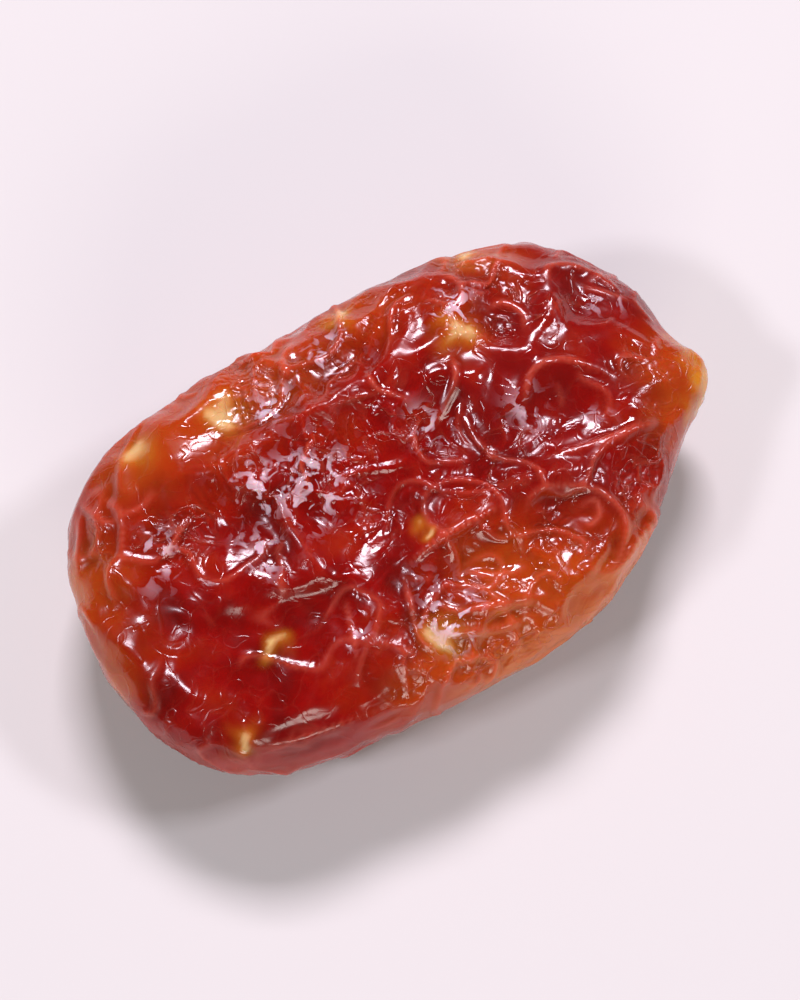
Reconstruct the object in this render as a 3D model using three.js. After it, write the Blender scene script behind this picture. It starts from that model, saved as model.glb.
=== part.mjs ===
// One dried cherry tomato, lying on its side.
// The fruit has shrunk in drying: it is oblong and flattened, its upper face has sunk inside a rolled
// rim, and the loose skin stands up in folds. X runs along the fruit towards its pointed tip, Z is up,
// and the origin is on the resting surface under the middle of the fruit. Sizes are in millimetres.
import * as THREE from 'three';
import { ImprovedNoise } from 'three/addons/math/ImprovedNoise.js';
import { mergeVertices } from 'three/addons/utils/BufferGeometryUtils.js';

// Driving dimensions of the finished fruit
const LENGTH = 34;
const WIDTH = 20.8;
const THICKNESS = 11;
// How far the underside would bulge below the resting surface if it had no flat spot
const FLAT_SPOT_DEPTH = 0.4;
// Each edge of the icosahedron that the skin starts from is cut this many times
const SURFACE_DETAIL = 22;

// The outline seen from above: how far the skin reaches from the middle, every 30 degrees from +X
// towards +Y. The stem end is broad, and the tip end tapers on its -Y side.
const OUTLINE_REACH = [16.3, 16.0, 12.6, 10.9, 12.4, 16.2, 16.7, 15.9, 12.1, 10.9, 11.9, 13.5];
// The pointed tip, where the flower was
const TIP = { angle: -0.13, reach: 1.4, spread: 0.12 };

// The level where the side wall is widest, and how far the skin goes above and below it
const WIDEST_LEVEL = 4.6;
const TOP_RISE = 6.0;
const UNDER_DROP = 5.4;
// How the wall turns into each face: 2 is an ellipse, and more is squarer
const TOP_SQUARENESS = 2.7;
const UNDER_SQUARENESS = 2.15;
// How much the surface's triangles are drawn from the thin wall to the wide faces
const CROWDING = 0.17;
// The upper face leans down towards -Y, and a little towards the tip, by this much per millimetre
const FACE_LEAN_Y = 0.085;
const FACE_LEAN_X = 0.02;

// Hollows where the flesh has shrunk away below the skin: the middle, half the length and width, the
// turn from +X towards +Y, and the depth
const TOP_HOLLOWS = [
  { x: -1.0, y: -0.4, long: 12.0, wide: 6.0, turn: 0.04, depth: 1.45 },
  { x: -8.2, y: -4.4, long: 4.4, wide: 2.5, turn: -0.25, depth: 0.55 },
  { x: -9.2, y: 2.4, long: 2.8, wide: 2.2, turn: 0.5, depth: 0.6 },
  { x: -1.4, y: -1.4, long: 2.6, wide: 1.9, turn: 0.3, depth: 0.55 },
  { x: 9.6, y: -1.4, long: 4.0, wide: 1.6, turn: 0.1, depth: 0.75 },
  { x: 3.4, y: 1.2, long: 2.2, wide: 1.8, turn: -0.4, depth: 0.45 },
  { x: 1.4, y: -6.5, long: 3.2, wide: 1.2, turn: 0.05, depth: 0.6 },
  { x: 6.3, y: -6.0, long: 1.5, wide: 1.3, turn: 0, depth: 0.45 },
  { x: 8.6, y: 5.2, long: 2.0, wide: 1.6, turn: 0.7, depth: 0.5 },
  { x: 13.0, y: 3.8, long: 1.7, wide: 1.3, turn: -0.7, depth: 0.45 },
  { x: -4.2, y: 6.8, long: 3.2, wide: 1.3, turn: 0.1, depth: 0.55 },
  { x: 2.2, y: 7.0, long: 2.4, wide: 1.2, turn: 0.15, depth: 0.45 },
];
const UNDER_HOLLOWS = [
  { x: -9.8, y: 0.6, long: 2.4, wide: 4.4, turn: 0.2, depth: 0.7 },
  { x: 10.2, y: 2.2, long: 4.0, wide: 1.5, turn: 0.25, depth: 0.9 },
  { x: 11.0, y: -3.0, long: 3.0, wide: 1.4, turn: -0.3, depth: 0.7 },
  { x: -1.5, y: 6.6, long: 5.5, wide: 1.5, turn: 0.05, depth: 0.9 },
  { x: 2.5, y: -6.8, long: 5.0, wide: 1.5, turn: -0.1, depth: 0.9 },
  { x: -12.8, y: -4.2, long: 1.6, wide: 2.2, turn: 0.4, depth: 0.5 },
];

// Folds of spare skin, each a line of points seen from above, with its height and half its width
const TOP_FOLDS = [
  { line: [[-2.6, -4.0], [1.2, -3.9], [4.9, -3.4], [9.0, -3.9], [13.4, -3.6]], height: 0.5, wide: 0.75 },
  { line: [[-2.4, -4.0], [-2.5, -6.2], [-1.9, -8.2]], height: 0.4, wide: 0.7 },
  { line: [[-1.8, -8.6], [1.4, -8.3], [4.4, -8.5], [7.0, -8.6]], height: 0.3, wide: 0.7 },
  { line: [[-13.4, 7.0], [-13.9, 3.4], [-13.0, 0.2], [-11.0, -1.6]], height: 0.4, wide: 0.9 },
  { line: [[-11.0, -1.6], [-9.2, -0.8], [-7.4, -1.7], [-5.4, -1.2]], height: 0.4, wide: 0.8 },
  { line: [[-7.4, 4.2], [-5.8, 1.4], [-5.9, -1.0], [-5.0, -3.2]], height: 0.5, wide: 0.8 },
  { line: [[-5.6, 1.2], [-3.6, 2.6], [-2.4, 4.8], [-0.8, 5.4]], height: 0.5, wide: 0.8 },
  { line: [[-9.6, 5.0], [-6.0, 4.8], [-2.4, 4.9], [1.2, 5.2], [5.0, 7.2]], height: 0.5, wide: 0.8 },
  { line: [[0.2, 4.4], [2.2, 3.3], [4.4, 3.8], [5.6, 2.4], [5.0, 0.2]], height: 0.4, wide: 0.7 },
  { line: [[5.6, 2.4], [7.2, 3.4], [8.4, 2.4], [9.8, 1.6]], height: 0.35, wide: 0.7 },
  { line: [[6.4, 7.6], [6.6, 5.2], [8.6, 3.2], [10.8, 4.2]], height: 0.35, wide: 0.7 },
  { line: [[5.4, -2.1], [6.2, 0.0], [9.2, 0.9], [12.4, 0.6], [14.8, -0.6]], height: 0.4, wide: 0.75 },
];
// Folds that close on themselves: the middle, the half-length and half-width, and where the arc runs
const TOP_LOOPS = [
  { x: 6.3, y: -6.0, long: 2.3, wide: 1.9, from: -0.6, to: 4.6, height: 0.35, width: 0.6 },
  { x: 13.2, y: 4.2, long: 1.9, wide: 2.1, from: 0.4, to: 4.9, height: 0.35, width: 0.6 },
  { x: 9.9, y: 6.9, long: 1.5, wide: 1.3, from: 0.2, to: 3.9, height: 0.3, width: 0.6 },
];
const UNDER_FOLDS = [
  { line: [[-13.8, 3.0], [-9.0, 4.6], [-3.0, 4.7], [3.0, 5.2], [8.0, 4.0]], height: 0.6, wide: 0.9 },
  { line: [[-12.4, -4.6], [-7.2, -4.8], [-1.0, -5.0], [5.6, -4.6], [10.6, -1.2]], height: 0.6, wide: 0.9 },
  { line: [[7.6, 0.4], [10.2, 0.2], [15.2, -1.6]], height: 0.6, wide: 0.8 },
];

// Wrinkles of two sizes all over the skin: how far apart, and how deep. The side wall stays calmer.
const WRINKLES = [
  { apart: 5.4, depth: 0.3 },
  { apart: 3.0, depth: 0.18 },
];
const WALL_SHARE = 0.35;
// How far the wrinkles stray from the plain noise, as a share of their spacing, and how fast they deepen
const WRINKLE_SWAY = 0.35;
const WRINKLE_STEEPNESS = 2.6;
const SWAY_SHIFT = 7;
// A fold's crest is followed in this many steps. At its ends it keeps a share of its height, and it
// rises to all of it over a share of its length.
const CREST_STEPS = 60;
const END_HEIGHT = 0.35;
const END_SHARE = 0.15;
// The wall turns into a face where the outward direction rises between these
const FACE_START = 0.1;
const FACE_FULL = 0.5;
// The faces move straight up or down more than outward by this much
const UPWARD_PUSH = 2;
const SKIN_COLOUR = 0xa3200f;

const noise = new ImprovedNoise();
const { smoothstep } = THREE.MathUtils;

// The reach at any angle, as a smooth closed curve through OUTLINE_REACH
function reachAt(angle) {
  const turn = (angle / (2 * Math.PI) + 1) % 1;
  const place = turn * OUTLINE_REACH.length;
  const before = Math.floor(place);
  const around = [-1, 0, 1, 2].map((step) => (before + step) % OUTLINE_REACH.length);
  const [a, b, c, d] = around.map((index) => OUTLINE_REACH.at(index));
  const t = place - before;
  const curve = b + 0.5 * t * (c - a + t * (2 * a - 5 * b + 4 * c - d + t * (3 * (b - c) + d - a)));
  const offTip = Math.atan2(Math.sin(angle - TIP.angle), Math.cos(angle - TIP.angle)) / TIP.spread;
  return curve + TIP.reach * Math.exp(-offTip * offTip);
}

// The swollen fruit before its skin folds: a flattened body on the outline, for one outward direction
function plainSkin(direction) {
  const angle = Math.atan2(direction.y, direction.x);
  const plainLevel = Math.asin(THREE.MathUtils.clamp(direction.z, -1, 1));
  const level = plainLevel + CROWDING * Math.sin(2 * plainLevel);
  const upper = level > 0;
  const squareness = upper ? TOP_SQUARENESS : UNDER_SQUARENESS;
  const [out, up] = [Math.cos(level), Math.sin(level)];
  const scale = (out ** squareness + Math.abs(up) ** squareness) ** (-1 / squareness);
  const reach = reachAt(angle) * out * scale;
  const x = reach * Math.cos(angle);
  const y = reach * Math.sin(angle);
  const rise = upper ? TOP_RISE + FACE_LEAN_Y * y - FACE_LEAN_X * x : UNDER_DROP;
  return new THREE.Vector3(x, y, WIDEST_LEVEL + up * scale * rise);
}

function hollowDepth(hollows, x, y) {
  let depth = 0;
  for (const hollow of hollows) {
    const [dx, dy] = [x - hollow.x, y - hollow.y];
    const along = (dx * Math.cos(hollow.turn) + dy * Math.sin(hollow.turn)) / hollow.long;
    const across = (dy * Math.cos(hollow.turn) - dx * Math.sin(hollow.turn)) / hollow.wide;
    depth += hollow.depth * Math.exp(-(along * along + across * across));
  }
  return depth;
}

// A fold's crest as closely spaced points, so that a distance to the nearest is a distance to the fold
function crestOf(fold) {
  const through = fold.line.map(([x, y]) => new THREE.Vector3(x, y, 0));
  const crest = new THREE.CatmullRomCurve3(through, false, 'centripetal').getSpacedPoints(CREST_STEPS);
  return { crest, height: fold.height, wide: fold.wide };
}

function loopCrest(loop) {
  const arc = new THREE.EllipseCurve(loop.x, loop.y, loop.long, loop.wide, loop.from, loop.to);
  return { crest: arc.getSpacedPoints(CREST_STEPS), height: loop.height, wide: loop.width };
}

// Folds taper to nothing at their ends and are sharper at the crest than a bell curve
function foldHeight(folds, x, y) {
  let height = 0;
  for (const fold of folds) {
    let nearest = Infinity;
    let share = 0;
    fold.crest.forEach((point, index) => {
      const distance = Math.hypot(point.x - x, point.y - y);
      if (distance < nearest) {
        nearest = distance;
        share = index / CREST_STEPS;
      }
    });
    const taper = smoothstep(share, 0, END_SHARE) * smoothstep(1 - share, 0, END_SHARE);
    height += fold.height * (END_HEIGHT + (1 - END_HEIGHT) * taper) * Math.exp(-nearest / fold.wide);
  }
  return height;
}

// Thin crests with smooth hollows between them, from the zero line of a smooth noise
function wrinkleDepth(point) {
  let depth = 0;
  for (const { apart, depth: most } of WRINKLES) {
    const [x, y, z] = [point.x / apart, point.y / apart, point.z / apart];
    const sway = WRINKLE_SWAY * noise.noise(y, z, x + SWAY_SHIFT);
    const value = noise.noise(x + sway, y - sway, z);
    depth += most * Math.min(1, WRINKLE_STEEPNESS * Math.abs(value));
  }
  return depth;
}

const topFolds = [...TOP_FOLDS.map(crestOf), ...TOP_LOOPS.map(loopCrest)];
const underFolds = UNDER_FOLDS.map(crestOf);

// The dried skin: the plain skin moved in at the hollows and wrinkles and out at the folds
function driedSkin(direction) {
  const point = plainSkin(direction);
  const onTop = smoothstep(direction.z, FACE_START, FACE_FULL);
  const under = smoothstep(-direction.z, FACE_START, FACE_FULL);
  const drop = onTop * hollowDepth(TOP_HOLLOWS, point.x, point.y)
    + under * hollowDepth(UNDER_HOLLOWS, point.x, point.y);
  const rise = onTop * foldHeight(topFolds, point.x, point.y)
    + under * foldHeight(underFolds, point.x, point.y);
  const wrinkles = (WALL_SHARE + (1 - WALL_SHARE) * (onTop + under)) * wrinkleDepth(point);
  const outward = new THREE.Vector3(direction.x, direction.y, UPWARD_PUSH * direction.z).normalize();
  return point.addScaledVector(outward, rise - drop - wrinkles);
}

// Sets the dried skin to the driving dimensions, and presses what would reach below the resting surface
// up to it, which makes the small flat spot that the fruit rests on
function setDown(geometry) {
  geometry.computeBoundingBox();
  const { min, max } = geometry.boundingBox;
  const size = max.clone().sub(min);
  geometry.translate(-(min.x + max.x) / 2, -(min.y + max.y) / 2, -max.z);
  geometry.scale(LENGTH / size.x, WIDTH / size.y, (THICKNESS + FLAT_SPOT_DEPTH) / size.z);
  geometry.translate(0, 0, THICKNESS);
  const places = geometry.getAttribute('position');
  for (let index = 0; index < places.count; index += 1) {
    places.setZ(index, Math.max(0, places.getZ(index)));
  }
}

function skinGeometry() {
  const sphere = new THREE.IcosahedronGeometry(1, SURFACE_DETAIL);
  sphere.deleteAttribute('normal');
  sphere.deleteAttribute('uv');
  const skin = mergeVertices(sphere);
  const places = skin.getAttribute('position');
  const direction = new THREE.Vector3();
  for (let index = 0; index < places.count; index += 1) {
    direction.fromBufferAttribute(places, index).normalize();
    places.setXYZ(index, ...driedSkin(direction));
  }
  setDown(skin);
  skin.computeVertexNormals();
  return skin;
}

function driedCherry() {
  const skin = new THREE.MeshStandardMaterial({ color: SKIN_COLOUR, roughness: 0.25, metalness: 0 });
  const fruit = new THREE.Mesh(skinGeometry(), skin);
  fruit.name = 'dried_cherry';
  return fruit;
}

const model = new THREE.Group();
model.add(driedCherry());

export default model;
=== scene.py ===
# %% [markdown]
# # A dried cherry tomato
# The fruit is one piece: a small oblong tomato that was sweetened and dried whole. Its flesh lost most
# of its water and shrank, but its skin kept its area, so the skin now stands up in folds and wrinkles
# over sunken, glossy, translucent flesh. This lesson starts from the solid model, gives its skin the
# folds that drying makes, and then gives it the colours, the gloss and the glow of the real thing.

# %% Load the solid model, which gives the size and the shape
import math

import bmesh
import bpy
import numpy as np
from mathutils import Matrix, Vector, noise


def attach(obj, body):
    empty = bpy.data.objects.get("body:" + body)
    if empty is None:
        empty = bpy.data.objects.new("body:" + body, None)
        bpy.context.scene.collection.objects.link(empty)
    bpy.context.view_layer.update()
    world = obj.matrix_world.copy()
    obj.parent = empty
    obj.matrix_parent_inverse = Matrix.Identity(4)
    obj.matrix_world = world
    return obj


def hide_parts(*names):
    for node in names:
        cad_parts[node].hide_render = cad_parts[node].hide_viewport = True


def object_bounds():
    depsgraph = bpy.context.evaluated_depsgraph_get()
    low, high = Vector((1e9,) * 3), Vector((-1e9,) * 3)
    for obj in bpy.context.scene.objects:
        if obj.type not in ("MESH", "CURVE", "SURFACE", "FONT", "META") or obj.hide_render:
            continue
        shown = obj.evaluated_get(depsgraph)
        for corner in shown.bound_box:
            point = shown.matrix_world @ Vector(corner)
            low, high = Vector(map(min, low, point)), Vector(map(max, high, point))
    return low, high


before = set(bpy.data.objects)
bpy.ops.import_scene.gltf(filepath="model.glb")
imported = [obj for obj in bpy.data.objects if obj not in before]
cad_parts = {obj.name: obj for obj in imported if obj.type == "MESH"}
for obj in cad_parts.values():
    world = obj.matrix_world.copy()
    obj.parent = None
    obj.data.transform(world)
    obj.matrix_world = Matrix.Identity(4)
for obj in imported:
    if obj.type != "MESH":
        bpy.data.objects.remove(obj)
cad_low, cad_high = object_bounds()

MM = 0.001
length, width, height = (cad_high - cad_low) / MM
print(f"solid model: {length:.1f} x {width:.1f} x {height:.1f} mm")

# %% [markdown]
# ## The skin's net
# The solid model holds the fruit's outline, its sunken face and its main folds, in triangles of about
# 0.6 mm. Fine wrinkles need about 0.15 mm. A copy of the solid's mesh is merged, and each triangle is
# then cut in four, twice: once before the large folds are made and once before the small ones. The
# triangles come from an even sphere, so the net has no grain that folds could line up with, as they
# would on the square net that a voxel remesh gives.

# %% Copy the solid's mesh and cut it finer
MERGE_DISTANCE = 0.001 * MM

skin_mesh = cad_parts["dried_cherry"].data.copy()
skin_mesh.name = "dried_cherry_skin"
skin_mesh.materials.clear()


def cut_finer(mesh):
    """Joins vertices that share a place, and cuts each triangle into four."""
    net = bmesh.new()
    net.from_mesh(mesh)
    bmesh.ops.remove_doubles(net, verts=net.verts, dist=MERGE_DISTANCE)
    bmesh.ops.subdivide_edges(net, edges=net.edges[:], cuts=1, use_grid_fill=True)
    net.to_mesh(mesh)
    net.free()
    print(f"net: {len(mesh.vertices)} points, {len(mesh.polygons)} triangles")


cut_finer(skin_mesh)

# %% [markdown]
# ## Working on all points at once
# Folding moves every point many hundred times, so the points are held as one numpy array and each step
# is a sum over the net's edges. The class below holds what such steps need: the points in millimetres,
# which points each edge joins, and the skin's outward direction at each point.

# %% The skin as arrays
SMALLEST = 1e-12


class Skin:
    """The points of a mesh in millimetres, with its edges and triangles."""

    def __init__(self, mesh):
        self.mesh = mesh
        self.points = self.read(mesh.vertices, "co", np.float32, 3).astype(float) / MM
        self.starts, self.ends = self.read(mesh.edges, "vertices", np.int32, 2).T
        self.triangles = self.read(mesh.loops, "vertex_index", np.int32, 1).reshape(-1, 3)
        joined = np.bincount(np.r_[self.starts, self.ends], minlength=len(self.points))
        self.neighbours = joined[:, None].astype(float)

    @staticmethod
    def read(items, name, kind, columns):
        found = np.empty(len(items) * columns, kind)
        items.foreach_get(name, found)
        return found.reshape(-1, columns) if columns > 1 else found

    def write(self):
        self.mesh.vertices.foreach_set("co", (self.points * MM).astype(np.float32).ravel())
        self.mesh.update()

    def gather(self, at, values):
        """Adds up rows of values at the points that they belong to."""
        columns = [np.bincount(at, column, minlength=len(self.points)) for column in values.T]
        return np.stack(columns, 1)

    def off_average(self, places):
        """How far each point's neighbours' average is from it."""
        total = self.gather(self.starts, places[self.ends]) + self.gather(self.ends, places[self.starts])
        return total / self.neighbours - places

    def outward(self, places):
        """The direction straight out of the skin at each point."""
        corners = places[self.triangles]
        facing = np.cross(corners[:, 1] - corners[:, 0], corners[:, 2] - corners[:, 0])
        total = sum(self.gather(self.triangles[:, corner], facing) for corner in range(3))
        return total / np.maximum(np.linalg.norm(total, axis=1, keepdims=True), SMALLEST)

    def soften(self, rounds):
        """Rounds off facets without shrinking the shape: each pull in is followed by a push out."""
        for _ in range(rounds):
            self.points += 0.5 * self.off_average(self.points)
            self.points -= 0.52 * self.off_average(self.points)


skin = Skin(skin_mesh)
skin.soften(rounds=8)

# %% [markdown]
# ## Two kinds of smooth number
# Nothing on a dried fruit is even, so most of what follows is mixed with smooth random noise: it is read
# at each point of the skin, and its spacing in millimetres says how far apart its hills are. The other
# helper is a ramp with rounded ends, which fades one thing into another without an edge.

# %% Noise and a rounded ramp
def soft_noise(places, apart, shift):
    """A smooth random value between about -0.7 and 0.7 at each place."""
    return np.array([noise.noise(Vector(place)) for place in places / apart + shift])


def rising(values, low, high):
    """0 below low, 1 above high and a smooth curve between them."""
    share = np.clip((values - low) / (high - low), 0, 1)
    return share * share * (3 - 2 * share)


print("halfway up a ramp:", rising(np.array([0.5]), 0, 1)[0])

# %% [markdown]
# ## Folding
# A skin that is too large for its flesh buckles. A cloth simulation could do it, but it needs a
# thickness and collisions and settles slowly. Here every edge of the net wants to be a few per cent
# longer than it is, the skin resists bending, and the flesh holds it, firmly against being pressed in
# and weakly against lifting off. Small random dents decide where the buckling starts. Stiff skin on
# soft flesh gives wide folds, and thin skin gives fine ones, so the two sizes of wrinkle come from two
# runs.

# %% How the skin buckles
BODY_ROUNDS = 8
STEP_LENGTH = 0.5
KEPT_SPEED = 0.9
STRETCH_PUSH = 0.3
SLIDE_HOLD = 0.3


def fold_skin(skin, spare, stiffness, hold, press, dents_apart, dent_depth, shift, steps):
    """Moves the skin to where its spare length, its stiffness and the flesh below it are in balance."""
    before = skin.points.copy()
    smooth_body = before.copy()
    for _ in range(BODY_ROUNDS):
        smooth_body += 0.5 * skin.off_average(smooth_body)
    out = skin.outward(smooth_body)
    edge_length = np.linalg.norm(before[skin.ends] - before[skin.starts], axis=1)
    extra = edge_length * 0.5 * (spare[skin.starts] + spare[skin.ends])
    bend_before = skin.off_average(before)
    points = before + out * (dent_depth * soft_noise(before, dents_apart, shift))[:, None]
    speed = np.zeros_like(points)
    for step in range(steps):
        # the skin has all its spare length after half of the steps, and then it settles
        grown = min(1.0, 2 * (step + 1) / steps)
        along = points[skin.ends] - points[skin.starts]
        now = np.linalg.norm(along, axis=1)
        push = (0.5 * (now - edge_length - extra * grown) / now)[:, None] * along
        stretch = skin.gather(skin.starts, push) - skin.gather(skin.ends, push)
        bend = -skin.off_average(skin.off_average(points) - bend_before)
        moved = points - before
        lift = (moved * out).sum(1, keepdims=True)
        firmness = np.where(lift < 0, press, 1.0)
        flesh = -hold * (firmness * lift * out + SLIDE_HOLD * (moved - lift * out))
        speed = KEPT_SPEED * speed + STRETCH_PUSH * stretch + stiffness * bend + flesh
        points += STEP_LENGTH * speed
    skin.points = points
    lift = ((points - before) * out).sum(1)
    print(f"folded: from {lift.min():.2f} to {lift.max():.2f} mm off the flesh")


# %% [markdown]
# ## Where there is skin to spare
# The skin is puckered in some places and taut in others: it is drawn together where the flesh sank most,
# and it stays smooth and glossy over the plump places and on the side wall. Both kinds of place are
# soft round patches with wandering edges. A patch is given by its place on the face, in millimetres
# from the fruit's middle, and by its size.

# %% Puckered and taut places
EDGE_WANDER = 0.9
EDGE_SPACING = 1.3


def blobs(places, spots):
    """Soft round patches on the face, each 1 in its middle: a spot is x, y and size in millimetres."""
    total = np.zeros(len(places))
    across = places[:, 0] + EDGE_WANDER * soft_noise(places, EDGE_SPACING, 61.0)
    along = places[:, 1] + EDGE_WANDER * soft_noise(places, EDGE_SPACING, 67.0)
    for spot_x, spot_y, size in spots:
        total += np.exp(-((across - spot_x) ** 2 + (along - spot_y) ** 2) / size**2)
    return total


PUCKERED = [(-6.3, 2.3, 2.2), (-3.4, 1.6, 2.2), (-3.8, 6.5, 1.6), (0.2, 7.1, 1.8), (-7.4, -0.6, 1.4),
            (-12.3, 2.2, 1.3), (-1.2, -7.2, 1.9), (6.4, 6.4, 1.5), (2.6, 1.8, 2.0), (8.6, 4.4, 2.0),
            (14.2, 3.6, 1.8), (6.2, -6.4, 2.2), (11.6, -5.2, 1.4), (1.5, -9.0, 1.6)]
TAUT = [(-8.6, -4.6, 3.4), (-12.4, -3.4, 3.0), (10.2, -1.0, 1.9), (-10.0, 5.2, 1.2), (-15.2, 0.5, 2.0),
        (-10.5, -7.5, 2.4)]
UNDERSIDE_SHARE = 0.6
WALL_SHARE = 0.55
WALL_TILT, FACE_TILT = 0.25, 0.85


def spare_skin(skin, most, least, patches_apart, shift, patch_share):
    """How much skin is to spare at each point: most in the puckered places, and little on the wall."""
    up = skin.outward(skin.points)[:, 2]
    face = np.where(up > 0, 1.0, UNDERSIDE_SHARE) * rising(np.abs(up), WALL_TILT, FACE_TILT)
    patches = patch_share + 1.2 * soft_noise(skin.points, patches_apart, shift)
    named_places = 0.8 * blobs(skin.points, PUCKERED) - 1.2 * blobs(skin.points, TAUT)
    patches += rising(up, -0.1, 0.3) * named_places
    return most * (least + (1 - least) * np.clip(patches, 0, 1)) * (WALL_SHARE + (1 - WALL_SHARE) * face)


# %% Buckle the skin in large folds
large = spare_skin(skin, most=0.024, least=0.15, patches_apart=6.0, shift=9.0, patch_share=0.35)
fold_skin(skin, large, stiffness=0.006, hold=0.0005, press=5.0,
          dents_apart=2.4, dent_depth=0.06, shift=5.0, steps=400)
skin.write()

# %% [markdown]
# ## The folds that can be named
# Some folds are too sharp for the solid model's net: a long one that runs from the pinch in the middle
# towards the pointed end, the rim of a smooth hollow next to it, a ring with a smaller ring in it, pleats
# that hang from the pinch, and loops at the broad end. Each is a curve through a few places, raised
# along its middle, and higher in some places than in others. A fold is given by its height and half its
# width, and then by its places, all in millimetres.

# %% The named folds
FOLDS = {
    "long fold": (0.26, 0.26, [(-2.3, -4.1), (0.6, -3.8), (4.1, -3.8)]),
    "hollow's near rim": (0.23, 0.25, [(6.2, -2.6), (9.4, -3.3), (13.2, -3.6)]),
    "hollow's far rim": (0.21, 0.25, [(6.8, -0.3), (8.1, 1.2), (9.9, 1.1), (12.7, -1.4)]),
    "shoulder fold": (0.25, 0.29, [(14.0, -4.7), (12.4, -6.2), (8.0, -8.4), (5.9, -8.9)]),
    "ring": (0.21, 0.24, [(4.1, -4.8), (5.5, -4.0), (7.8, -5.0), (8.6, -7.1), (6.8, -8.7), (4.9, -7.8)]),
    "small ring": (0.14, 0.24, [(6.8, -5.5), (7.7, -5.6), (7.6, -6.3), (6.9, -6.5), (6.7, -5.9)]),
    "first pleat": (0.20, 0.24, [(0.0, -5.2), (1.6, -6.5), (3.0, -6.9)]),
    "second pleat": (0.21, 0.24, [(-2.0, -5.8), (-0.8, -7.2), (1.2, -7.9), (3.8, -8.6)]),
    "third pleat": (0.18, 0.24, [(-2.1, -7.7), (-0.1, -8.5), (2.8, -9.1)]),
    "hanging fold": (0.25, 0.25, [(-2.4, -4.4), (-2.8, -5.9), (-3.1, -7.5), (-2.6, -8.4)]),
    "broad loop": (0.21, 0.24, [(11.4, 4.9), (12.1, 5.9), (14.0, 4.8), (15.4, 1.9)]),
    "inner loop": (0.16, 0.24, [(12.8, 4.5), (14.1, 3.6), (15.1, 2.6)]),
    "far loop": (0.18, 0.24, [(7.8, 5.3), (8.9, 5.3), (9.5, 4.3), (8.9, 3.0)]),
    "far hook": (0.20, 0.24, [(7.1, 8.2), (7.5, 7.0), (6.7, 5.7)]),
    "middle fold": (0.20, 0.24, [(5.2, 4.1), (4.6, 2.6), (2.6, 1.4)]),
    "curl": (0.20, 0.24, [(1.1, 5.3), (1.1, 4.1), (2.4, 2.8)]),
    "left hook": (0.20, 0.24, [(-13.0, 6.5), (-12.7, 4.8), (-14.2, 2.2)]),
    "side groove's rim": (0.21, 0.30, [(-14.4, 7.0), (-15.0, 5.3), (-16.1, 3.4)]),
    "bottom fold": (0.25, 0.33, [(-12.6, -7.8), (-10.2, -8.5), (-6.3, -9.2)]),
    "short fold": (0.21, 0.24, [(-5.3, -3.9), (-5.8, -5.5), (-6.4, -7.2)]),
    "far pleat": (0.18, 0.24, [(-2.2, 6.6), (-2.1, 7.9), (-0.6, 9.2)]),
}
print(len(FOLDS), "named folds")

# %% Raise a fold along its curve
STEPS_A_SPAN = 10
CREST_WIDTH = 0.12
END_TAPER = 0.3
NEAR_WIDTHS = 3


def smooth_curve(places):
    """Places along a smooth curve that passes through all the places given."""
    ends = [2 * places[0] - places[1], *places, 2 * places[-1] - places[-2]]
    found = []
    for before, here, there, after in zip(ends, ends[1:], ends[2:], ends[3:]):
        for t in np.linspace(0, 1, STEPS_A_SPAN, endpoint=False):
            bend = (2 * before - 5 * here + 4 * there - after) * t * t
            twist = (3 * here - before - 3 * there + after) * t**3
            found.append(here + 0.5 * ((there - before) * t + bend + twist))
    return np.array([*found, places[-1]])


def ridge(gaps, half_width):
    """1 on the line and falling off to both sides of it, as a rounded ridge does."""
    return np.exp(-((gaps / half_width) ** 2))


def raise_folds(skin, folds):
    """Raises the folds. Gives back how near each point is to one, and to its crest, both from 0 to 1."""
    out = skin.outward(skin.points)
    upper = np.flatnonzero(out[:, 2] > 0.1)
    flat_places = skin.points[upper, :2]
    lift = np.zeros(len(upper))
    near = np.zeros(len(skin.points))
    crest = np.zeros(len(skin.points))
    for tall, half_width, places in folds.values():
        curve = smooth_curve([np.array(place) for place in places])
        gaps = np.linalg.norm(flat_places[:, None] - curve[None], axis=2)
        nearest = gaps.argmin(1)
        gaps = gaps.min(1)
        from_end = np.minimum(nearest, len(curve) - 1 - nearest) / (END_TAPER * len(curve))
        tapered = rising(from_end, -0.1, 1.0)
        lift = np.maximum(lift, tall * tapered * ridge(gaps, half_width))
        near[upper] = np.maximum(near[upper], 1 - rising(gaps, half_width, NEAR_WIDTHS * half_width))
        crest[upper] = np.maximum(crest[upper], tapered * ridge(gaps, CREST_WIDTH))
    uneven = 0.85 + 0.6 * soft_noise(skin.points[upper], 1.6, 31.0)
    skin.points[upper] += out[upper] * (lift * uneven)[:, None]
    print(f"named folds: up to {lift.max():.2f} mm high")
    return near, crest


# %% [markdown]
# ## The folds in between
# Between them the skin stands up in thin folds that wander, curl and close on themselves without ever
# crossing. The lines along which a smooth random field is zero do the same, so each fold follows one,
# and it fades where a second field is low.

# %% Raise the wandering folds
FIELD_STEP = 0.05
LEAST_SLOPE = 0.02


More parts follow.
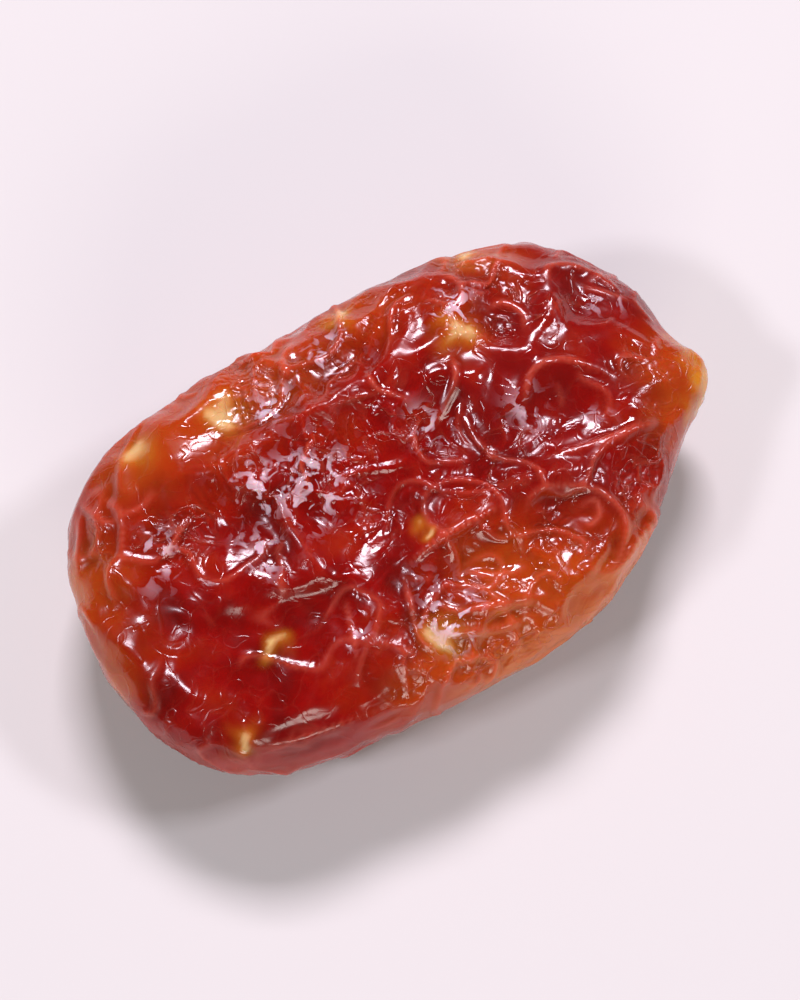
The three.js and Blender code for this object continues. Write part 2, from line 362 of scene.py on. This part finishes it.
def raise_wandering_folds(skin, apart, tall, half_width, shift, share):
    """Raises thin folds along the zero lines of a random field, on part of the skin."""
    field = soft_noise(skin.points, apart, shift)
    slope = [(soft_noise(skin.points + FIELD_STEP * axis, apart, shift) - field) / FIELD_STEP
             for axis in np.eye(3)]
    distance = np.abs(field) / np.maximum(np.linalg.norm(slope, axis=0), LEAST_SLOPE)
    there = rising(soft_noise(skin.points, 1.7 * apart, shift + 7.0) + share, 0.0, 0.25)
    out = skin.outward(skin.points)
    face = rising(np.abs(out[:, 2]), 0.2, 0.7)
    lift = tall * there * (0.5 + 0.5 * face) * ridge(distance, half_width)
    skin.points += out * lift[:, None]
    print(f"wandering folds on {100 * (lift > 0.3 * tall).mean():.0f} % of the skin")
    return there * ridge(distance, CREST_WIDTH)


# %% [markdown]
# ## Fine wrinkles
# The second run is on the finer net. The skin is now thinner, so it wrinkles about every millimetre,
# in patches between smooth, glossy hollows. It has little to spare next to a named fold, which would
# get pleats like a comb's teeth otherwise, and those folds are softened a little afterwards.

# %% Cut the net again and buckle it in small
cut_finer(skin_mesh)
skin = Skin(skin_mesh)
skin.soften(rounds=2)
wide_lines = raise_wandering_folds(skin, apart=3.4, tall=0.13, half_width=0.22, shift=3.0, share=0.05)
thin_lines = raise_wandering_folds(skin, apart=2.1, tall=0.10, half_width=0.20, shift=13.0, share=-0.05)
near_fold, crest_lines = raise_folds(skin, FOLDS)
small = spare_skin(skin, most=0.06, least=0.05, patches_apart=3.6, shift=19.0, patch_share=0.2)
small *= 1 - 0.9 * near_fold
fold_skin(skin, small, stiffness=0.001, hold=0.001, press=4.0,
          dents_apart=0.8, dent_depth=0.03, shift=50.0, steps=120)
folded = skin.points.copy()
skin.soften(rounds=3)
skin.points = folded + near_fold[:, None] * (skin.points - folded)

# %% [markdown]
# ## Back into the solid's box
# Folds stand a little proud of the solid. The skin is scaled by the per cent or so that brings it back
# inside the solid's box, and whatever is below the resting surface is pressed flat onto it, which is
# how the real fruit got its flat spot.

# %% Fit the folded skin to the solid's box
cad_middle = (cad_low + cad_high) / 2
rest_at = np.array([cad_middle.x, cad_middle.y, cad_low.z]) / MM
flat_level = rest_at[2]
low, high = skin.points.min(0), skin.points.max(0)
skin_base = np.array([*((low + high) / 2)[:2], flat_level])
room = np.array([length, width, height])
taken = np.array([*(high - low)[:2], high[2] - flat_level])
scale = np.minimum(1.0, room / taken)
skin.points = (skin.points - skin_base) * scale + rest_at
skin.points[:, 2] = np.maximum(skin.points[:, 2], flat_level)
skin.write()
print("scaled by", scale.round(3))

# %% The finished piece
for triangle in skin_mesh.polygons:
    triangle.use_smooth = True
fruit = bpy.data.objects.new("dried_cherry_skin", skin_mesh)
bpy.context.scene.collection.objects.link(fruit)
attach(fruit, "root")
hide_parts("dried_cherry")
print(f"{fruit.name}: {len(skin_mesh.polygons)} triangles")

# %% [markdown]
# ## Where the colours lie
# The colour of the dried fruit follows its thickness and its folds. Thick flesh is a deep red, thin
# edges pass light and look orange, the crests of wrinkles are pale, partly as dry skin and partly as a
# painted highlight, the hollows between them are darkened with painted shade, and pale seeds show
# through the skin in a few places. Each of these is a number from 0 to 1 at each point of the skin, kept
# in the mesh as an attribute that the material reads. The first ones are measured on the folded skin
# itself.

# %% Paint what follows the skin's shape
def keep(name, values):
    """Stores one number a point under a name that the material reads."""
    layer = skin_mesh.attributes.new(name, "FLOAT", "POINT")
    layer.data.foreach_set("value", np.clip(values, 0, 1).astype(np.float32))
    print(f"{name}: mean {values.mean():.2f}")


CALM_ROUNDS = 12
out = skin.outward(skin.points)
above = rising(out[:, 2], -0.2, 0.3)
calm = skin.points.copy()
for _ in range(CALM_ROUNDS):
    calm += 0.5 * skin.off_average(calm)
relief = ((skin.points - calm) * out).sum(1)
# pale crests: partly dry skin, partly a painted highlight along them
keep("crest", rising(relief, 0.04, 0.14))
# painted shade: the hollows between the folds are made darker
keep("valley_shade", rising(-relief, 0.01, 0.08))
# pale fold lines: partly pale skin, partly a painted highlight along them
keep("fold_lines", np.maximum(crest_lines, 0.5 * np.maximum(wide_lines, thin_lines)))
keep("pucker", small / small.max())

# the wall is thinner than the middle, and how thin changes from place to place
wall = 1 - rising(np.abs(out[:, 2]), WALL_TILT, FACE_TILT)
keep("thin", wall * np.clip(0.6 + 1.2 * soft_noise(skin.points, 7.0, 41.0), 0, 1))

# %% [markdown]
# The others lie in given places: orange flesh along the edges, painted light shining through the
# thinnest of them, wine-red flesh where it is thickest, flat seeds just below the skin, skin that has come
# off the flesh and is painted with glints, and the yellow tip, which never ripened.

# %% Paint what lies in certain places
AMBER = [(-11.0, 7.6, 3.0), (-7.0, 8.2, 3.0), (-2.5, 8.6, 2.8), (2.5, 9.2, 2.4), (-4.0, -9.8, 2.2),
         (3.0, -9.6, 2.6), (-16.0, 3.0, 2.2), (9.5, 9.4, 2.4), (15.2, -1.4, 2.0), (14.2, -4.0, 2.0),
         (6.2, 4.8, 1.2), (2.0, -6.4, 2.2), (-1.0, -10.4, 2.4), (5.5, -10.2, 2.8), (10.6, -9.0, 1.8)]
# painted light: orange where light would shine through the thinnest flesh, mostly on the wall
PAINTED_GLOW = [(0.5, -10.4, 3.2), (6.0, -9.8, 3.2), (9.6, -9.4, 2.0), (-15.8, 3.5, 2.0), (-15.6, -1.0, 1.6)]
WINE = [(11.5, 4.5, 4.0), (6.5, 1.0, 3.0), (8.0, -5.0, 2.4)]
SEEDS = [(-10.4, 7.7, 0.9), (-6.0, 6.9, 0.8), (1.7, 8.6, 0.6), (9.0, 8.9, 0.9), (-2.1, -7.9, 0.8),
         (-0.4, -2.9, 0.4), (6.0, 4.9, 0.5), (-12.8, -7.2, 0.6), (-9.1, -4.2, 0.4)]
# patches of skin come off the flesh, where painted glints go
LOOSE_SKIN_GLINTS = [(-6.6, 2.6, 1.2), (-3.6, 2.0, 1.5), (-3.8, 6.2, 1.0), (0.2, 6.8, 1.1), (-8.0, -0.2, 0.9),
          (6.3, 6.1, 0.8), (2.6, 1.7, 0.9), (-1.4, -6.9, 1.3), (-12.2, 2.0, 0.9), (9.8, -2.6, 0.6),
          (6.9, -0.1, 0.8), (-5.8, -5.6, 0.7), (13.9, 3.4, 0.8), (-4.8, 0.6, 0.8)]
TIP = np.array([16.4, -2.0, 5.6])

keep("amber", blobs(skin.points, AMBER))
# painted light shining through the thin wall
keep("painted_glow", (0.1 + 0.9 * wall) * blobs(skin.points, PAINTED_GLOW))
keep("wine", above * blobs(skin.points, WINE))
# where the painted glints of loose skin go
keep("loose_skin_glints", above * blobs(skin.points, LOOSE_SKIN_GLINTS))
seeds = above * blobs(skin.points, SEEDS)
keep("seeds", seeds)
keep("seed_cores", rising(seeds, 0.55, 1.0))
from_tip = np.linalg.norm(skin.points - TIP, axis=1) + 1.2 * soft_noise(skin.points, 1.2, 73.0)
keep("tip", 1 - rising(from_tip, 0.2, 3.4))

# %% [markdown]
# ## The skin's material
# Candied tomato skin is a thin, clear, sticky skin over dense red flesh. The material is one glossy
# shader with a colour built up in steps, and each step is a small function that gives back a socket for
# the next one. All patterns read Object coordinates, and their scales are one over a size in metres.

# %% Helpers for materials
def linear(hex_colour):
    """An sRGB colour such as "A01810" as the linear numbers that shaders use."""
    parts = [int(hex_colour[i : i + 2], 16) / 255 for i in (0, 2, 4)]
    return (*[c / 12.92 if c <= 0.04045 else ((c + 0.055) / 1.055) ** 2.4 for c in parts], 1.0)


def add_node(material, kind, inputs=None, **settings):
    """Adds a node with its settings, and gives each input a value or a link from another node."""
    node = material.node_tree.nodes.new(kind)
    for name, value in settings.items():
        setattr(node, name, value)
    for name, value in (inputs or {}).items():
        if isinstance(value, bpy.types.NodeSocket):
            material.node_tree.links.new(value, node.inputs[name])
        else:
            node.inputs[name].default_value = value
    return node


# a mix node has inputs for each kind of value, and these are the ones for its two colours
BELOW, ABOVE = 6, 7
MIXED = 2
print("candied red:", [round(part, 3) for part in linear("860503")])

# %% [markdown]
# ### Flesh
# The flesh is of uneven thickness, so its red comes in clouds about three millimetres across: deep red,
# bright red, and a little orange where it is thinnest.

# %% Clouds of red
CLOUDS_APART = 2.86 * MM
FLESH_REDS = [(0.33, "660302"), (0.54, "860503"), (0.72, "921A05")]


def flesh_clouds(material, place):
    cloud = add_node(material, "ShaderNodeTexNoise",
                     {"Vector": place, "Scale": 1 / CLOUDS_APART, "Detail": 4.0})
    flesh = add_node(material, "ShaderNodeValToRGB", {"Fac": cloud.outputs["Fac"]})
    stops = flesh.color_ramp.elements
    (stops[0].position, first), (middle_position, middle), (stops[1].position, last) = FLESH_REDS
    stops[0].color = linear(first)
    stops[1].color = linear(last)
    stops.new(middle_position).color = linear(middle)
    return flesh.outputs["Color"]


# %% [markdown]
# ### Painted colours
# Each painted number lays its colour over what is below it. The share says how much of it there is at
# most, so that the flesh always shows through a little.

# %% Lay the painted colours over the flesh
LAYERS = [
    ("wine", "74100E", 0.5),
    ("amber", "AC400A", 0.75),
    ("thin", "A42C04", 0.55),
    ("seeds", "C07C20", 0.75),
    ("seed_cores", "E6CC92", 0.55),
    ("tip", "DEA42C", 0.8),
    # pale dry skin on the crests, and a painted highlight along them
    ("crest", "BC4E34", 0.22),
    # painted shade in the hollows between the folds
    ("valley_shade", "5C0402", 0.2),
    # painted light shining through the thinnest flesh
    ("painted_glow", "CC6C0E", 0.75),
    # pale skin along the fold lines, and a painted highlight along them
    ("fold_lines", "D8745C", 0.28),
]


def painted_colours(material, colour):
    for name, hex_colour, most in LAYERS:
        painted = add_node(material, "ShaderNodeAttribute", attribute_name=name)
        share = add_node(material, "ShaderNodeMath", {0: painted.outputs["Fac"], 1: most},
                         operation="MULTIPLY")
        layer = add_node(material, "ShaderNodeMix",
                         {0: share.outputs[0], BELOW: colour, ABOVE: linear(hex_colour)}, data_type="RGBA")
        colour = layer.outputs[MIXED]
    return colour


# %% [markdown]
# ### Hair-thin folds
# The finest folds are as thin as a hair and stand too close for the mesh, so they are a bump and a faint
# pale tint in the material, partly pale skin and partly a painted highlight along them. Like the
# wandering folds, they follow the line along which a random field has its middle value, in two spacings.

# %% Hair-thin folds
HAIR_SPACINGS = [(2.2 * MM, 0.6), (1.1 * MM, 0.4)]
HAIR_WIDTH = 0.035
# the pale tint of the hair-thin folds: partly pale skin, partly a painted highlight
HAIR_TINT = "C86E50"


def hair_folds(material, place, pucker):
    hair_height = 0.0
    for spacing, share in HAIR_SPACINGS:
        field = add_node(material, "ShaderNodeTexNoise",
                         {"Vector": place, "Scale": 1 / spacing, "Detail": 1.0, "Distortion": 0.5})
        gap = add_node(material, "ShaderNodeMath", {0: field.outputs["Fac"], 1: 0.5}, operation="SUBTRACT")
        gap = add_node(material, "ShaderNodeMath", {0: gap.outputs[0]}, operation="ABSOLUTE")
        line = add_node(material, "ShaderNodeMapRange",
                        {"Value": gap.outputs[0], "From Min": 0.0, "From Max": HAIR_WIDTH,
                         "To Min": share, "To Max": 0.0}, interpolation_type="SMOOTHSTEP")
        total = add_node(material, "ShaderNodeMath", {0: line.outputs[0], 1: hair_height}, operation="ADD")
        hair_height = total.outputs[0]
    # a few on taut skin, and all of them where it is puckered
    where = add_node(material, "ShaderNodeMath", {0: pucker, 1: 0.88, 2: 0.12}, operation="MULTIPLY_ADD")
    hair_height = add_node(material, "ShaderNodeMath", {0: hair_height, 1: where.outputs[0]},
                           operation="MULTIPLY")
    return hair_height.outputs[0]


# lays the pale tint, partly a painted highlight, along the hair-thin folds
def tint_folds(material, colour, hair_height):
    share = add_node(material, "ShaderNodeMath", {0: hair_height, 1: 0.2}, operation="MULTIPLY")
    tinted = add_node(material, "ShaderNodeMix",
                      {0: share.outputs[0], BELOW: colour, ABOVE: linear(HAIR_TINT)}, data_type="RGBA")
    return tinted.outputs[MIXED]


# %% [markdown]
# ### Flakes painted as glints
# In the puckered places bits of skin have come off the flesh. The air below them throws the light back
# before it reaches the red; here that is a painted highlight: silvery flecks with ragged edges in the
# colour.

# %% Flakes painted as glints
FLAKES_APART = 0.77 * MM
# the colour of the painted glints on the flakes
FLAKE_GLINT_COLOUR = "E4CCD6"


def glint_flakes(material, place, colour):
    specks = add_node(material, "ShaderNodeTexNoise",
                      {"Vector": place, "Scale": 1 / FLAKES_APART, "Detail": 2.0, "Distortion": 1.0})
    speck = add_node(material, "ShaderNodeMapRange",
                     {"Value": specks.outputs["Fac"], "From Min": 0.53, "From Max": 0.60,
                      "To Min": 0.0, "To Max": 0.75})
    loose_skin_glints = add_node(material, "ShaderNodeAttribute", attribute_name="loose_skin_glints")
    share = add_node(material, "ShaderNodeMath", {0: speck.outputs[0], 1: loose_skin_glints.outputs["Fac"]},
                     operation="MULTIPLY")
    silvered = add_node(material, "ShaderNodeMix",
                        {0: share.outputs[0], BELOW: colour, ABOVE: linear(FLAKE_GLINT_COLOUR)},
                        data_type="RGBA")
    return silvered.outputs[MIXED]


# %% [markdown]
# ### Crimps and syrup
# Between its folds the skin is crimped in ridges of about two thirds of a millimetre. That is finer than
# the mesh can hold, so it is a bump too, strongest where the skin is puckered. The syrup on the skin
# dried uneven, so some of it is glossier.

# %% Crimps and gloss
CRIMPS_APART = 0.67 * MM
BUMP_HEIGHT = 0.10 * MM
SYRUP_APART = 1.25 * MM
GLOSSIEST, DULLEST = 0.09, 0.26


def crimped_normal(material, place, pucker, hair_height):
    crimps = add_node(material, "ShaderNodeTexNoise",
                      {"Vector": place, "Scale": 1 / CRIMPS_APART, "Detail": 2.0, "Distortion": 0.5},
                      noise_type="RIDGED_MULTIFRACTAL")
    depth = add_node(material, "ShaderNodeMath", {0: pucker, 1: 1.4, 2: 0.1}, operation="MULTIPLY_ADD")
    crimped = add_node(material, "ShaderNodeMath",
                       {0: crimps.outputs["Fac"], 1: depth.outputs[0], 2: hair_height},
                       operation="MULTIPLY_ADD")
    bump = add_node(material, "ShaderNodeBump",
                    {"Height": crimped.outputs[0], "Strength": 1.0, "Distance": BUMP_HEIGHT})
    return bump.outputs["Normal"]


def syrup_gloss(material, place):
    film = add_node(material, "ShaderNodeTexNoise",
                    {"Vector": place, "Scale": 1 / SYRUP_APART, "Detail": 2.0})
    rough = add_node(material, "ShaderNodeMapRange",
                     {"Value": film.outputs["Fac"], "From Min": 0.35, "From Max": 0.65,
                      "To Min": GLOSSIEST, "To Max": DULLEST})
    return rough.outputs[0]


# %% [markdown]
# ### Light in the flesh
# Light goes a millimetre or two into the flesh and comes back red, so the shader has subsurface
# scattering, with a far longer reach for red than for green and blue. Dried sugar syrup has an index of
# refraction of 1.4 to 1.5, and a very thin coat on top sharpens the brightest glints.

# %% Candied tomato skin
def candied_skin():
    material = bpy.data.materials.new("candied_tomato_skin")
    material.use_nodes = True
    shader = material.node_tree.nodes["Principled BSDF"]
    shader.inputs["IOR"].default_value = 1.40
    shader.inputs["Subsurface Weight"].default_value = 0.7
    shader.inputs["Subsurface Radius"].default_value = (1.0, 0.16, 0.08)
    shader.inputs["Subsurface Scale"].default_value = 1.6 * MM
    shader.inputs["Coat Weight"].default_value = 0.06
    shader.inputs["Coat Roughness"].default_value = 0.06

    place = add_node(material, "ShaderNodeTexCoord").outputs["Object"]
    pucker = add_node(material, "ShaderNodeAttribute", attribute_name="pucker").outputs["Fac"]
    hair_height = hair_folds(material, place, pucker)
    colour = painted_colours(material, flesh_clouds(material, place))
    colour = glint_flakes(material, place, tint_folds(material, colour, hair_height))

    link = material.node_tree.links.new
    link(colour, shader.inputs["Base Color"])
    link(crimped_normal(material, place, pucker, hair_height), shader.inputs["Normal"])
    link(syrup_gloss(material, place), shader.inputs["Roughness"])
    print(f"{material.name}: {len(material.node_tree.nodes)} nodes")
    return material


skin_mesh.materials.append(candied_skin())

# %% [markdown]
# ## The studio
# The fruit lies on a plain pale floor in a softly lit room. Glossy wrinkles show by their glints, and a
# glint is a small picture of a lamp, so each lamp looks small from the fruit. The strongest is behind it
# and lights the folds from the far side, one on the right and one on the left light their ends, and a
# wide weak one in front fills in the shadows. They stand more than a metre away, which lights the floor
# evenly as far as the eye can see. The camera looks down steeply, onto the sunken face.

# %% The floor
FLOOR_SIZE = 3.0


def pale_floor():
    net = bmesh.new()
    bmesh.ops.create_grid(net, x_segments=1, y_segments=1, size=FLOOR_SIZE / 2)
    mesh = bpy.data.meshes.new("floor")
    net.to_mesh(mesh)
    net.free()
    material = bpy.data.materials.new("pale_floor")
    material.use_nodes = True
    shader = material.node_tree.nodes["Principled BSDF"]
    shader.inputs["Base Color"].default_value = linear("C9C6C2")
    shader.inputs["Roughness"].default_value = 0.7
    mesh.materials.append(material)
    floor = bpy.data.objects.new("floor", mesh)
    bpy.context.scene.collection.objects.link(floor)
    print(f"floor: {FLOOR_SIZE} m wide")


pale_floor()

# %% Lamps and the room's light
def look_from(azimuth, elevation, distance):
    """A place round the fruit: azimuth 0 is in front, on -Y, and elevation is above the horizon."""
    turn, rise = math.radians(azimuth), math.radians(elevation)
    back = Vector((math.sin(turn) * math.cos(rise), -math.cos(turn) * math.cos(rise), math.sin(rise)))
    return cad_middle + back * distance, (-back).to_track_quat("-Z", "Y").to_euler()


def soft_lamp(name, azimuth, elevation, distance, size, power, colour):
    light = bpy.data.lights.new(name, "AREA")
    light.shape = "RECTANGLE"
    light.size, light.size_y = size
    light.energy = power
    light.color = linear(colour)[:3]
    lamp = bpy.data.objects.new(name, light)
    bpy.context.scene.collection.objects.link(lamp)
    lamp.location, lamp.rotation_euler = look_from(azimuth, elevation, distance)
    print(f"{name}: {power} W")


soft_lamp("back_lamp", 150, 50, 1.35, (0.42, 0.27), 26.0, "F0E6F4")
soft_lamp("right_lamp", 75, 45, 1.35, (0.24, 0.15), 8.0, "F4F0FF")
soft_lamp("left_lamp", -95, 45, 1.35, (0.24, 0.15), 8.0, "F4F0FF")
soft_lamp("front_lamp", -20, 22, 1.5, (0.90, 0.36), 11.7, "FFF6EE")

world = bpy.data.worlds.new("soft_room")
world.use_nodes = True
room_light = world.node_tree.nodes["Background"]
room_light.inputs["Color"].default_value = linear("F6F2EC")
room_light.inputs["Strength"].default_value = 0.13
bpy.context.scene.world = world
bpy.context.scene.view_settings.view_transform = "Standard"
bpy.context.scene.view_settings.exposure = -0.22

# %% The camera
CAMERA_AZIMUTH, CAMERA_ELEVATION, CAMERA_DISTANCE = -30, 72, 0.118

camera_data = bpy.data.cameras.new("camera")
camera_data.lens = 85
camera_data.clip_start = 0.005
camera = bpy.data.objects.new("camera", camera_data)
camera.location, camera.rotation_euler = look_from(CAMERA_AZIMUTH, CAMERA_ELEVATION, CAMERA_DISTANCE)
bpy.context.scene.collection.objects.link(camera)
bpy.context.scene.camera = camera
print(f"camera: {CAMERA_DISTANCE * 1000:.0f} mm from the fruit's middle")
